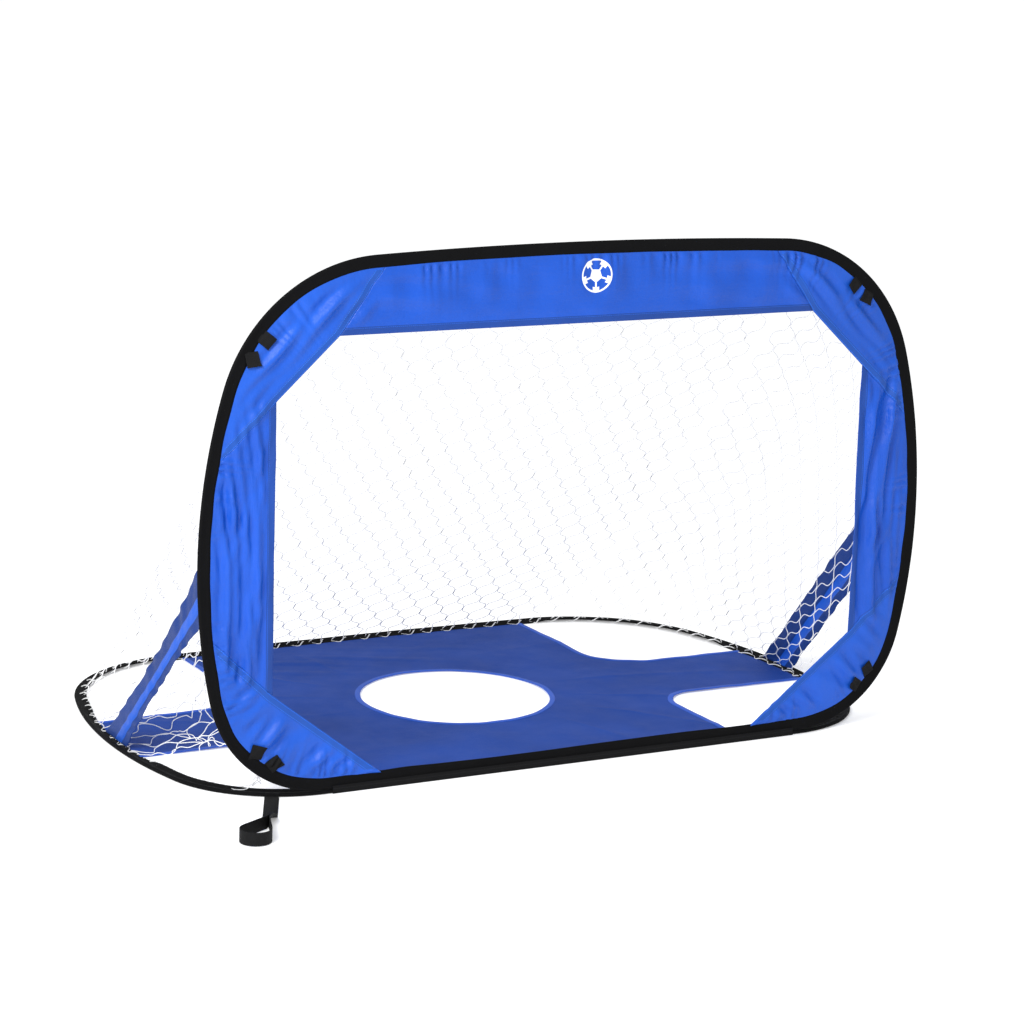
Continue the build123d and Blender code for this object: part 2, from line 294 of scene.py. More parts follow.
def ballPrint(finish, place, shade):
    # a plain ball: a ring, a five-sided patch in the middle, five seams that leave its corners and
    # a dark end on each; printed on the face that looks forward only
    edge = ballMark["edge"]
    x, _, z = finish.split(place)
    dx, dz = x - ballMark["centre"][0], z - ballMark["centre"][1]
    radius = (dx * dx + dz * dz).maths("SQRT")
    angle = dx.maths("ARCTAN2", dz) + math.pi
    fifth = turnAround / 5
    turned = (angle + fifth / 2).saw(fifth) * fifth - fifth / 2
    toFlat = radius * (abs(turned) - fifth / 2).maths("COSINE")
    patch = 1 - toFlat.step(ballMark["patch"], ballMark["patch"] + edge)
    offSeam = abs(radius * turned.maths("SINE"))
    seam = 1 - offSeam.step(ballMark["seam"], ballMark["seam"] + edge)
    halfRing, far = ballMark["ring"] / 2, ballMark["outerFrom"]
    ring = 1 - abs(radius - ballMark["radius"]).step(halfRing, halfRing + edge)
    inside = 1 - radius.step(ballMark["radius"] - edge / 2, ballMark["radius"])
    half = ballMark["outerHalf"]
    outer = radius.step(far, far + edge) * (1 - offSeam.step(half, half + edge))
    mark = ring.maths("MAXIMUM", (patch.maths("MAXIMUM", seam).maths("MAXIMUM", outer)) * inside)
    _, facing, _ = finish.split(finish.node("ShaderNodeTexCoord", {}, {}, 1))
    return finish.mix(mark * (1 - facing.step(-0.1, 0.1)), shade, ballMark["ink"])


webbingLook = {"rib": 0.0042, "slant": 0.35, "ribDepth": 0.00022, "lane": 0.005, "laneDepth": 0.00012,
               "fibre": 600.0, "fibreDepth": 0.00005, "wear": 40.0, "roughness": 0.66, "gloss": 0.15}


def webbingFinish(name, colour):
    # ribs across the webbing, an edge cord on each side, and a dull worn sheen
    finish = Finish(name)
    across, along = finish.cloth()
    place = finish.place()
    fine = finish.noise(place, webbingLook["fibre"], 3.0)
    wear = finish.noise(place, webbingLook["wear"], 3.0)
    slanted = across + along * webbingLook["slant"]
    ribs = abs(slanted.wave(webbingLook["rib"])) * webbingLook["ribDepth"]
    lanes = abs(along.wave(webbingLook["lane"])) * webbingLook["laneDepth"]
    shade = finish.mix(fine, tint(colour, 0.7), tint(colour, 2.4))
    shade = finish.mix(wear.step(0.55, 0.8) * 0.5, shade, tint(colour, 3.0))
    finish.shader({"Base Color": shade, "Roughness": webbingLook["roughness"] + fine * 0.2,
                   "Specular IOR Level": webbingLook["gloss"],
                   "Normal": finish.bump(ribs + lanes + fine * webbingLook["fibreDepth"])})
    return finish.material


cordLook = {"twist": 0.003, "slant": 1.4, "depth": 0.00012, "fibre": 500.0, "fibreDepth": 0.00002,
            "paintedGrooveShade": (0.78, 0.78, 0.80, 1.0), "ridge": (0.92, 0.92, 0.93, 1.0), "glow": 0.004}


def cordFinish(name):
    # twisted yarn: slanting ridges round the cord, with painted shade that greys the hollows between the
    # ridges
    finish = Finish(name)
    across, along = finish.cloth()
    twist = abs((across + along * cordLook["slant"]).wave(cordLook["twist"]))
    fine = finish.noise(finish.place(), cordLook["fibre"])
    # painted shade: the twist's hollows get a greyer white than its ridges
    shade = finish.mix(twist, cordLook["paintedGrooveShade"], cordLook["ridge"])
    finish.shader({"Base Color": shade, "Roughness": 0.6 + fine * 0.15, "Subsurface Weight": 1.0,
                   "Subsurface Radius": (1.0, 1.0, 1.0), "Subsurface Scale": cordLook["glow"],
                   "Normal": finish.bump(twist * cordLook["depth"] + fine * cordLook["fibreDepth"])})
    return finish.material


tapeLook = {"rib": 0.0024, "ribDepth": 0.00012, "stitchAt": 0.0072, "stitch": 0.004,
            "stitchDepth": 0.0003, "fibre": 500.0, "fibreDepth": 0.00005,
            "roughness": 0.72, "gloss": 0.12}


def tapeFinish():
    # plain black tape on object coordinates: ribs across it and a row of stitches along its middle
    finish = Finish("blackTape")
    place = finish.place()
    x, _, z = finish.split(place)
    fine = finish.noise(place, tapeLook["fibre"], 3.0)
    ribs = abs(x.wave(tapeLook["rib"])) * tapeLook["ribDepth"]
    stitch = abs(z - tapeLook["stitchAt"]).step(0.0004, 0.0008)
    stitch = (1 - stitch) * x.saw(tapeLook["stitch"]).step(0.15, 0.3)
    colour = blacks["sleeve"]
    shade = finish.mix(fine, tint(colour, 0.7), tint(colour, 2.2))
    height = ribs + stitch * tapeLook["stitchDepth"] + fine * tapeLook["fibreDepth"]
    finish.shader({"Base Color": finish.mix(stitch, shade, tint(colour, 3.5)),
                   "Roughness": tapeLook["roughness"], "Specular IOR Level": tapeLook["gloss"],
                   "Normal": finish.bump(height)})
    return finish.material


steelLook = {"grain": 300.0, "stretch": (0.1, 1, 1), "dark": (0.42, 0.43, 0.45, 1),
             "light": (0.62, 0.63, 0.65, 1), "roughness": 0.28}


def steelFinish():
    # drawn steel: long grain in colour and roughness
    finish = Finish("springSteel")
    grain = finish.noise(finish.place(), steelLook["grain"], 3.0, 0.6, steelLook["stretch"])
    finish.shader({"Base Color": finish.mix(grain, steelLook["dark"], steelLook["light"]),
                   "Metallic": 1.0, "Roughness": steelLook["roughness"] + grain * 0.2})
    return finish.material


def pieceName(node):
    # the node's words run together, each after the first with a capital
    first, *rest = node.split("_")
    return first + "".join(word.capitalize() for word in rest)


def belong(piece, body, node):
    # the piece moves with the body, if it has one, and stands for the node
    if body:
        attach(piece, body)
    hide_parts(node)


def surface(name, points, cloth, finish, closeU=False, closeV=False, capped=False):
    # quads between neighbours of a (u, v) grid; a leading axis makes several grids in one piece
    points = np.asarray(points, float)
    if points.ndim == 3:
        points, cloth = points[None], cloth[None]
    count, nu, nv = points.shape[:3]
    index = np.arange(count * nu * nv).reshape(count, nu, nv)
    wide = np.concatenate([index, index[:, :1]], 1) if closeU else index
    wide = np.concatenate([wide, wide[:, :, :1]], 2) if closeV else wide
    corners = [wide[:, :-1, :-1], wide[:, 1:, :-1], wide[:, 1:, 1:], wide[:, :-1, 1:]]
    quads = np.stack(corners, -1).reshape(-1, 4)
    flat = [cloth[:, :-1, :-1], cloth[:, 1:, :-1], cloth[:, 1:, 1:], cloth[:, :-1, 1:]]
    cornerCloth = np.stack(flat, 3).reshape(-1, 2)
    loops, starts = quads.reshape(-1), np.arange(0, quads.size, 4)
    if capped:
        ends = np.concatenate([index[:, 0], index[:, -1, ::-1]], 0)
        starts = np.concatenate([starts, quads.size + np.arange(0, ends.size, nv)])
        loops = np.concatenate([loops, ends.reshape(-1)])
        cornerCloth = np.concatenate([cornerCloth, np.zeros((ends.size, 2))])
    mesh = bpy.data.meshes.new(name)
    mesh.vertices.add(count * nu * nv)
    mesh.vertices.foreach_set("co", points.astype(np.float32).reshape(-1))
    mesh.loops.add(len(loops))
    mesh.loops.foreach_set("vertex_index", loops.astype(np.int32))
    mesh.polygons.add(len(starts))
    mesh.polygons.foreach_set("loop_start", starts.astype(np.int32))
    mesh.polygons.foreach_set("use_smooth", np.ones(len(starts), bool))
    layer = mesh.uv_layers.new(name="cloth")
    layer.uv.foreach_set("vector", cornerCloth.astype(np.float32).reshape(-1))
    mesh.update(calc_edges=True)
    mesh.validate()
    piece = bpy.data.objects.new(name, mesh)
    bpy.context.scene.collection.objects.link(piece)
    mesh.materials.append(finish)
    return piece


def clothMap(points):
    # length along u and along v from the grid's first corner, averaged so that the weave runs straight
    du = np.linalg.norm(np.diff(points, axis=-3), axis=-1).mean(axis=-1)
    dv = np.linalg.norm(np.diff(points, axis=-2), axis=-1).mean(axis=-2)
    u = np.concatenate([np.zeros_like(du[..., :1]), np.cumsum(du, -1)], -1)
    v = np.concatenate([np.zeros_like(dv[..., :1]), np.cumsum(dv, -1)], -1)
    return together(u[..., :, None], v[..., None, :])


def thicken(piece, thickness, bevel=0.0):
    # half the thickness on each side of the surface
    solid = piece.modifiers.new("thickness", "SOLIDIFY")
    solid.thickness, solid.offset, solid.use_even_offset = thickness, 0.0, False
    if bevel:
        edge = piece.modifiers.new("edge", "BEVEL")
        edge.width, edge.segments, edge.limit_method = bevel, 2, "ANGLE"
    return piece


def together(*parts):
    # one grid of vectors from a grid, a row, a column or a number for each coordinate
    return np.stack(np.broadcast_arrays(*parts), -1)


def flatOval(angle, power):
    # the height round a section that is nearly flat on both sides: a power of the sine, with its sign
    return np.sign(np.sin(angle)) * np.abs(np.sin(angle)) ** power


def unit(vectors):
    # each vector over its length
    return vectors / np.maximum(np.linalg.norm(vectors, axis=-1, keepdims=True), 1e-12)


def runLengths(path):
    # the length from a path's first point to each of its points
    return np.concatenate([[0], np.cumsum(np.linalg.norm(np.diff(path, axis=0), axis=1))])


def pointsAt(path, lengths, at):
    # where a path is at given lengths along it
    return np.stack([np.interp(at, lengths, path[:, i]) for i in range(2)], -1)


def evenly(path, step):
    # the same path with points a step apart, its corners kept by the dense input
    lengths = runLengths(path)
    return pointsAt(path, lengths, np.linspace(0, lengths[-1], int(lengths[-1] / step) + 2))


def tube(name, path, radius, sides, up, finish):
    # a ring of points round each point of the path, square to it
    path = path if path.ndim == 3 else path[None]
    tangent = unit(np.gradient(path, axis=1))
    side = unit(np.cross(tangent, np.broadcast_to(up, path.shape)))
    normal = np.cross(side, tangent)
    angle = np.arange(sides) * turnAround / sides
    ring = np.cos(angle)[:, None] * normal[:, :, None] + np.sin(angle)[:, None] * side[:, :, None]
    points = path[:, :, None] + np.asarray(radius)[..., None, None] * ring
    step = np.linalg.norm(np.diff(path, axis=1), axis=-1)
    along = np.concatenate([np.zeros_like(step[:, :1]), np.cumsum(step, 1)], 1)
    girth = np.linspace(0, turnAround, sides + 1) * float(np.mean(radius))
    cloth = together(along[:, :, None], girth[None, None])
    return surface(name, points, cloth, finish, closeV=True, capped=True)


def ripple(x, y, seed, count, shortest, longest, heading=0.0, spread=math.pi):
    # a sum of sines of random length and direction, about 1 high
    dice = np.random.default_rng(seed)
    total = np.zeros(np.broadcast(x, y).shape)
    for _ in range(count):
        length = dice.uniform(shortest, longest)
        angle = dice.uniform(-spread, spread) + heading
        phase = dice.uniform(0, turnAround)
        total = total + np.sin((x * math.cos(angle) + y * math.sin(angle)) * turnAround / length + phase)
    return total / math.sqrt(count)


def smooth(t, low, high):
    # 0 below low, 1 above high, and 3t2 - 2t3 between
    t = np.clip((t - low) / (high - low), 0, 1)
    return t * t * (3 - 2 * t)


hoop = {"lowerCorner": 0.187, "upperCorner": 0.257, "turns": (77.5, 106.2, 177.5), "band": 0.019,
        "nose": 0.003, "strip": 0.0016}
frontLow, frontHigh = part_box("front_sleeve")
baseLow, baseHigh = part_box("base_sleeve")
goalWidth = baseHigh.x - baseLow.x
standingHeight = frontHigh.z - frontLow.z
lyingDepth = baseHigh.y - baseLow.y
frontMiddle = (frontLow.y + frontHigh.y) / 2
foldHinge = next(joint for joint in frame["joints"] if joint["name"] == "front_fold")["pos_m"]


def outlineArcs(height):
    # the width and the height fix the side's and the top's radius; a row is centre, radius,
    # first heading and the length at which the arc begins
    s2, s3, s4 = (math.sin(math.radians(a)) for a in hoop["turns"])
    c2, c3, c4 = (math.cos(math.radians(a)) for a in hoop["turns"])
    low, high, half = hoop["lowerCorner"], hoop["upperCorner"], goalWidth / 2
    across = -half - high * (s4 - s3)
    up = height - low * (1 - c2) - high * (c3 - c4)
    det = (s3 - 1) * (1 + c4) + s4 * (c2 - c3)
    side = (across * (1 + c4) + s4 * up) / det
    top = ((s3 - 1) * up - (c2 - c3) * across) / det
    run = half - low * s2 - side * (1 - s2)
    headings = [0.0] + [math.radians(a) for a in hoop["turns"]] + [math.pi]
    rows, x, y, length = [], run, 0.0, run
    for radius, a, b in zip((low, side, high, top), headings, headings[1:]):
        cx, cy = x - radius * math.sin(a), y + radius * math.cos(a)
        rows.append((cx, cy, radius, a, length))
        x, y, length = cx + radius * math.sin(b), cy - radius * math.cos(b), length + radius * (b - a)
    return np.array(rows), run, length


def outline(height, s, inset=0.0):
    # the point of the hoop's edge at the length s from the middle of the front run, anticlockwise,
    # moved in by inset, with the outward direction there
    rows, run, half = outlineArcs(height)
    s = np.mod(np.asarray(s, float), 2 * half)
    left = s > half
    t = np.where(left, 2 * half - s, s)
    k = np.clip(np.searchsorted(rows[:, 4], t, side="right") - 1, 0, len(rows) - 1)
    cx, cy, radius, heading, begin = (rows[k, i] for i in range(5))
    a = heading + (t - begin) / radius
    straight = t < run
    x = np.where(straight, t, cx + (radius - inset) * np.sin(a))
    y = np.where(straight, inset, cy - (radius - inset) * np.cos(a))
    nx, ny = np.where(straight, 0.0, np.sin(a)), np.where(straight, -1.0, -np.cos(a))
    side = np.where(left, -1.0, 1.0)
    return x * side, y, nx * side, ny


def outlineLength(height):
    # all the way round, which is twice one half
    return 2 * outlineArcs(height)[2]


def hoopDepth(height, x, y):
    # how far inside the hoop's outer edge a point lies, and how far round the hoop that edge point is:
    # for each arc the radius less the distance from its centre, the smallest that applies
    rows, run, _ = outlineArcs(height)
    wide = np.abs(x)
    depth = np.where(wide < run, y, np.inf)
    s = np.where(wide < run, wide, 0.0)
    for (cx, cy, radius, first, begin), last in zip(rows, np.append(rows[1:, 3], math.pi)):
        angle = np.arctan2(wide - cx, cy - y)
        gap = radius - np.hypot(wide - cx, y - cy)
        better = (angle >= first) & (angle <= last) & (gap < depth)
        depth, s = np.where(better, gap, depth), np.where(better, begin + radius * (angle - first), s)
    return depth, s * np.sign(x)


def standUp(x, y, forward):
    # across, up the standing hoop's plane, and out of its front
    return together(x, frontMiddle - forward, y + frontLow.z)


def layDown(x, y, height):
    # across, back along the base hoop's plane, and up
    return together(x, y + baseLow.y, height)


sleeve = {"steps": 1300, "pucker": 0.00035, "puckerLength": (0.012, 0.04), "edgeWander": 0.0007,
          "noseSwell": 0.05, "lift": 0.0058, "pressed": 0.82}


def baseLift(x, y, inset):
    # where no sheet is sewn to it, the pull of the net tips the base band's inner edge up
    wide, deep = np.abs(x), y + baseLow.y
    front = smooth(wide, 0.37, 0.45) * (1 - smooth(deep, 0.19, 0.25))
    rear = smooth(deep, 0.48, 0.54) * smooth(wide, 0.34, 0.40)
    return sleeve["lift"] * np.maximum(front, rear) * smooth(inset, 0.004, 0.020)


def sleeveSection(flatBottom):
    # nose arc, taper and sewn strip as (inset, thickness) pairs; the second figure is from the middle
    nose, half, band = hoop["nose"], hoop["strip"] / 2, hoop["band"]
    if flatBottom:
        arc = np.radians(np.linspace(270, 60, 13))
        top = [(0.0115, -0.0012), (0.0150, -0.0014), (band, -0.0014)]
        bottom = [(band, -nose), (0.0150, -nose), (0.0090, -nose)]
    else:
        arc = np.radians(np.linspace(290, 70, 13))
        top = [(0.0096, half), (0.0150, half), (band, half)]
        bottom = [(band, -half), (0.0150, -half), (0.0096, -half)]
    nosePoints = [(nose + nose * math.cos(a), nose * math.sin(a)) for a in arc]
    return np.array(nosePoints + top + bottom)


def makeSleeve(node, height, place, flatBottom, seed, body):
    # the section carried round the outline; puckers stand across the band between nose and seam
    section = sleeveSection(flatBottom)
    s = np.arange(sleeve["steps"]) * outlineLength(height) / sleeve["steps"]
    around = s * turnAround / outlineLength(height)
    ringX, ringY = np.cos(around), np.sin(around)
    size = outlineLength(height) / turnAround
    short, long = sleeve["puckerLength"]
    pucker = ripple(ringX * size, ringY * size, seed, 14, short, long)
    slow = ripple(ringX * size, ringY * size, seed + 1, 8, 0.06, 0.3)
    inset, thick = section[:, 0][None], section[:, 1][None]
    seamward = smooth(inset, 0.003, 0.009) * (1 - smooth(inset, 0.013, 0.019))
    top = np.sign(thick) * (thick > -hoop["nose"] * 0.9)
    thick = thick * (1 + sleeve["noseSwell"] * slow[:, None] * (inset < 0.007))
    thick = thick + top * sleeve["pucker"] * pucker[:, None] * seamward
    inset = inset + sleeve["edgeWander"] * slow[:, None] * smooth(inset, 0.012, 0.019)
    if flatBottom:
        thick = np.maximum(thick, -hoop["nose"]) + hoop["nose"]
    x, y, nx, ny = outline(height, s)
    if flatBottom:
        thick = thick + baseLift(x[:, None], y[:, None], inset)
    points = place(x[:, None] - nx[:, None] * inset, y[:, None] - ny[:, None] * inset, thick)
    across = runLengths(section)
    across = np.append(across, across[-1] + hoop["strip"])
    along = np.append(s, outlineLength(height))
    cloth = together(along[:, None], across[None])
    piece = surface(pieceName(node), points, cloth, finishes["sleeve"], True, True)
    belong(piece, body, node)
    if flatBottom:
        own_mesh(piece)


mouth = {"halfWidth": 0.497, "top": 0.672, "topCorner": 0.400, "sideUpper": 0.582, "sideLower": 0.152,
         "foot": 0.322, "footHeight": 0.0175}
seams = {"upper": (0.322, 0.780), "side": (0.577, 0.505), "lower": (0.590, 0.240)}
panelCloth = {"thickness": 0.0007, "tuck": 0.0165, "hem": 0.0115, "hemThickness": 0.0015, "step": 0.0032}
drape = {"pillow": 0.0026, "pucker": 0.0030, "puckerPitch": 0.0175, "puckerReach": 0.020,
         "cornerReach": 0.004, "lowest": 0.0024, "sideFold": 0.0066, "topFold": 0.0032,
         "cornerFold": 0.0036}


def mouthCorners():
    # the right half's corners, from the top round to the foot
    return {"top": (mouth["topCorner"], mouth["top"]),
            "upper": (mouth["halfWidth"], mouth["sideUpper"]),
            "lower": (mouth["halfWidth"], mouth["sideLower"]),
            "foot": (mouth["foot"], mouth["footHeight"])}


def mouthDistance(x, y):
    # the shortest distance to the mouth's edge, by its straight sides
    corners = mouthCorners()
    points = [corners[k] for k in ("foot", "lower", "upper", "top")] + [(0.0, mouth["top"])]
    nearest = np.full(np.shape(x), np.inf)
    for (ax, ay), (bx, by) in zip(points, points[1:]):
        dx, dy = bx - ax, by - ay
        t = np.clip(((np.abs(x) - ax) * dx + (y - ay) * dy) / (dx * dx + dy * dy), 0, 1)
        nearest = np.minimum(nearest, np.hypot(np.abs(x) - ax - t * dx, y - ay - t * dy))
    return nearest


def seamLength(corner, through):
    # how far round the outline the line from a mouth corner through a point crosses the tuck line
    s = np.linspace(0, outlineLength(standingHeight) / 2, 6000)
    x, y, _, _ = outline(standingHeight, s, panelCloth["tuck"])
    dx, dy = through[0] - corner[0], through[1] - corner[1]
    off = (x - corner[0]) * dy - (y - corner[1]) * dx
    ahead = (x - corner[0]) * dx + (y - corner[1]) * dy > 0
    k = np.flatnonzero((off[:-1] * off[1:] <= 0) & ahead[:-1])[0]
    return float(s[k] + (s[k + 1] - s[k]) * off[k] / (off[k] - off[k + 1]))


def faceDrape(x, y):
    # how far the cloth stands forward: a soft pillow between mouth and sleeve, puckers at the
    # sleeve's seam, upright folds down the sides, long folds on top and slanting ones in the corners
    depth, s = hoopDepth(standingHeight, x, y)
    toSleeve = np.maximum(depth - panelCloth["tuck"], 0)
    toMouth = mouthDistance(x, y)
    share = toMouth / np.maximum(toMouth + toSleeve, 0.001)
    pillow = drape["pillow"] * np.sin(math.pi * share)
    warped = s + 0.006 * np.sin(s * 61) + 0.004 * np.sin(s * 137 + 1)
    strength = np.maximum(0.45 + 0.9 * ripple(s, s * 0, 12, 6, 0.06, 0.3), 0.08)
    pucker = np.sin(warped * turnAround / drape["puckerPitch"]) * strength
    side = smooth(np.abs(x), 0.46, 0.50) * (1 - smooth(y, 0.52, 0.60)) * smooth(y, 0.14, 0.22)
    upper = smooth(y, 0.66, 0.69) * (1 - smooth(np.abs(x), 0.32, 0.42))
    corner = np.clip(1 - side - upper, 0, 1)
    reach = drape["puckerReach"] + drape["cornerReach"] * corner
    pucker = pucker * np.exp(-toSleeve / reach) * smooth(toSleeve, 0.0018, 0.009)
    inner = smooth(toSleeve, 0.002, 0.03)
    fan = 0.06 * np.sin(y * 5.0)
    sideFold = ripple(x * (1 + fan), y, 21, 8, 0.015, 0.045, 0.0, 0.10)
    patches = ripple(x, y, 25, 8, 0.012, 0.06, 0.0, 0.35) * ripple(x, y, 26, 5, 0.1, 0.3)
    sideFold = 0.7 * sideFold + 0.5 * patches
    topFold = ripple(x, y, 22, 7, 0.02, 0.06, math.radians(84), 0.12) * smooth(np.abs(x), 0.05, 0.38)
    topFold = topFold + 0.5 * ripple(x, y, 24, 7, 0.03, 0.09, 0.5, 0.9)
    diagonal = ripple(np.abs(x), y, 23, 7, 0.02, 0.06, math.radians(45), 0.35) * np.sin(math.pi * share)
    folds = side * drape["sideFold"] * sideFold + upper * drape["topFold"] * topFold
    folds = folds + corner * drape["cornerFold"] * diagonal
    quiet = 0.25 + 0.75 * smooth(toMouth, 0.004, 0.03)
    forward = pillow + drape["pucker"] * pucker + folds * inner * quiet
    return np.maximum(forward, -drape["lowest"] + 0.3 * (forward + drape["lowest"]))


def seamPoint(s):
    # the tuck line's point at that length round the hoop
    x, y, _, _ = outline(standingHeight, s, panelCloth["tuck"])
    return float(x), float(y)


def panelGrid(inner0, inner1, s0, s1, side):
    # rays from the straight mouth edge to the curved sleeve edge
    length = max(math.dist(inner0, inner1), abs(s1 - s0))
    u = np.linspace(0, 1, int(length / panelCloth["step"]) + 2)[:, None]
    v = np.linspace(0, 1, int(0.12 / panelCloth["step"]) + 2)[None]
    ox, oy, _, _ = outline(standingHeight, s0 + (s1 - s0) * u, panelCloth["tuck"])
    ix, iy = inner0[0] + (inner1[0] - inner0[0]) * u, inner0[1] + (inner1[1] - inner0[1]) * u
    return (ix + (ox - ix) * v) * side, iy + (oy - iy) * v


def makePanel(node, inner0, inner1, s0, s1, side, finish):
    # the flat cut between mouth and sleeve, moved forward by its drape
    name = pieceName(node)
    x, y = panelGrid(inner0, inner1, s0, s1, side)
    points = standUp(x, y, faceDrape(x, y))
    piece = thicken(surface(name, points, np.stack([x, y], -1), finish), panelCloth["thickness"])
    belong(piece, frontBody, node)


def makeStrip(node, inner, outer, side, finish):
    # a folded strip between two matching polylines, with a flat oval section that lies on the cloth
    inner, outer = np.array(inner), np.array(outer)
    lengths = runLengths(inner)
    at = np.linspace(0, lengths[-1], int(lengths[-1] / panelCloth["step"]) + 2)
    angle = np.linspace(0, turnAround, 17)[:-1]
    across = 0.5 - 0.5 * np.cos(angle)
    a, b = (pointsAt(path, lengths, at)[:, None] for path in (inner, outer))
    flat = a + (b - a) * across[None, :, None]
    thick = panelCloth["hemThickness"] / 2 * flatOval(angle, 0.35)
    depth, _ = hoopDepth(standingHeight, flat[..., 0], flat[..., 1])
    under = smooth(depth, panelCloth["tuck"] + 0.001, hoop["band"] + 0.006)
    forward = (faceDrape(flat[..., 0] * side, flat[..., 1]) + thick[None]) * under
    points = standUp(flat[..., 0] * side, flat[..., 1], forward)
    width = np.append(across, 0.0) * panelCloth["hem"]
    cloth = together(at[:, None], width[None])
    piece = surface(pieceName(node), points, cloth, finish, closeV=True, capped=True)
    belong(piece, frontBody, node)


def towards(start, target, square, width):
    # from start in the target's direction, as far as keeps a strip of the given width along an edge
    # whose unit normal is square
    step = unit(np.array(target) - np.array(start))
    return np.array(start) + step * width / abs(float(step @ square))


def edgeNormal(a, b):
    # the unit vector square to the edge, on its right
    along = unit(np.array(b) - np.array(a))
    return np.array([along[1], -along[0]])


def makeHem(node, corner0, end0, corner1, end1, side):
    # along a mouth edge, its ends cut on the seams
    square = edgeNormal(corner0, corner1)
    outer = [towards(c, e, square, panelCloth["hem"]) for c, e in ((corner0, end0), (corner1, end1))]
    makeStrip(node, [corner0, corner1], outer, side, finishes["hem"])


def makeTape(node, path, side):
    # along a corner's whole straight edge, seam, mouth edge and seam, mitred where it turns
    path = [np.array(point) for point in path]
    normals = [edgeNormal(a, b) for a, b in zip(path, path[1:])]
    outer = [path[0] + normals[0] * panelCloth["hem"]]
    for point, before, after in zip(path[1:], normals, normals[1:]):
        middle = unit(before + after)
        outer.append(point + middle * panelCloth["hem"] / float(middle @ before))
    outer.append(path[-1] + normals[-1] * panelCloth["hem"])
    makeStrip(node, path, outer, side, finishes["seamTape"])


def makeFace():
    # the top panel spans both halves; every other piece is made right and mirrored left
    corners = mouthCorners()
    top, upper = seamLength(corners["top"], seams["upper"]), seamLength(corners["upper"], seams["side"])
    lower, foot = seamLength(corners["lower"], seams["lower"]), corners["foot"][0]
    ends = {"top": seamPoint(top), "upper": seamPoint(upper), "lower": seamPoint(lower)}
    whole = outlineLength(standingHeight)
    mirrored = [(-x, y) for x, y in (corners["top"], ends["top"])]
    makePanel("top_panel", corners["top"], mirrored[0], top, whole - top, 1, finishes["topPanel"])
    makeHem("top_hem", corners["top"], ends["top"], mirrored[0], mirrored[1], 1)
    for word, side in (("right", 1), ("left", -1)):
        makePanel(f"upper_{word}_gusset", corners["upper"], corners["top"], upper, top, side,
                  finishes["gusset"])
        makePanel(f"{word}_panel", corners["lower"], corners["upper"], lower, upper, side,
                  finishes["panel"])
        makePanel(f"lower_{word}_gusset", corners["foot"], corners["lower"], foot, lower, side,
                  finishes["gusset"])
        makeHem(f"{word}_hem", corners["lower"], ends["lower"], corners["upper"], ends["upper"], side)
        makeTape(f"upper_{word}_gusset_hem",
                 [ends["upper"], corners["upper"], corners["top"], ends["top"]], side)
        makeTape(f"lower_{word}_gusset_hem", [corners["foot"], corners["lower"], ends["lower"]], side)


tabs = {"width": 0.020, "length": 0.024, "thickness": 0.0013, "splay": 16.0, "spacing": 0.026,
        "inset": 0.0155, "lift": 0.0045, "clear": 0.0016,
        "lean": {"upper_left": 26.0, "upper_right": 4.0, "lower_right": 0.0, "lower_left": 0.0},
        "headings": {"upper_right": 138.0, "upper_left": 125.0, "lower_right": 46.0, "lower_left": 37.0}}


def headingLength(height, heading):
    # the length round the outline at which it runs in a given direction
    rows, _, _ = outlineArcs(height)
    row = rows[np.searchsorted(rows[:, 3], math.radians(heading), side="right") - 1]
    return row[4] + row[2] * (math.radians(heading) - row[3])


def makeTabs(corner, heading, seed):
    # two flat ends of webbing that come out from under the sleeve; their free ends lift and turn
    side = 1 if corner.endswith("right") else -1
    s = headingLength(standingHeight, heading)
    x, y, nx, ny = (float(a) for a in outline(standingHeight, s, tabs["inset"]))
    grids = []
    dice = np.random.default_rng(seed)
    u, v = np.linspace(0, 1, 26)[:, None], np.linspace(-0.5, 0.5, 15)[None]
    for turn in (-1, 1):
        splay = math.radians(turn * tabs["splay"] * dice.uniform(0.5, 1.5) + tabs["lean"][corner])
        alongX, alongY = (-nx * math.cos(splay) + ny * math.sin(splay),
                          -nx * math.sin(splay) - ny * math.cos(splay))
        reach = u * tabs["length"] * dice.uniform(0.9, 1.05)
        px = x + alongX * reach + ny * turn * tabs["spacing"] / 2 - alongY * v * tabs["width"]
        py = y + alongY * reach - nx * turn * tabs["spacing"] / 2 + alongX * v * tabs["width"]
        curl = tabs["lift"] * u ** 2 * dice.uniform(0.3, 1.0) * (1 + 1.2 * v * dice.choice([-1, 1]))
        rise = smooth(u, 0.05, 0.30)
        forward = (faceDrape(px * side, py) + tabs["clear"]) * rise + curl
        grids.append(standUp(px * side, py, forward))
    points = np.stack(grids)
    node = corner + "_tabs"
    piece = surface(pieceName(node), points, clothMap(points), finishes["webbing"])
    belong(thicken(piece, tabs["thickness"], bevel=0.0003), frontBody, node)


sheet = {"holeRadius": 0.155, "holeY": 0.385, "binding": 0.009, "rearCut": (0.325, 0.462, 0.095),
         "frontCut": (0.318, 0.262, 0.055), "rings": 58, "edgeStep": 0.006, "thickness": 0.0006,
         "height": 0.0009, "fold": 0.0016, "ridge": 0.0016, "rearFold": 0.0012, "smallFold": 0.0003,
         "bindingHeight": 0.0011, "bindingStep": 0.004,
         "bindingOver": 0.0003, "bindingGirth": 0.02, "lowest": 0.0002}


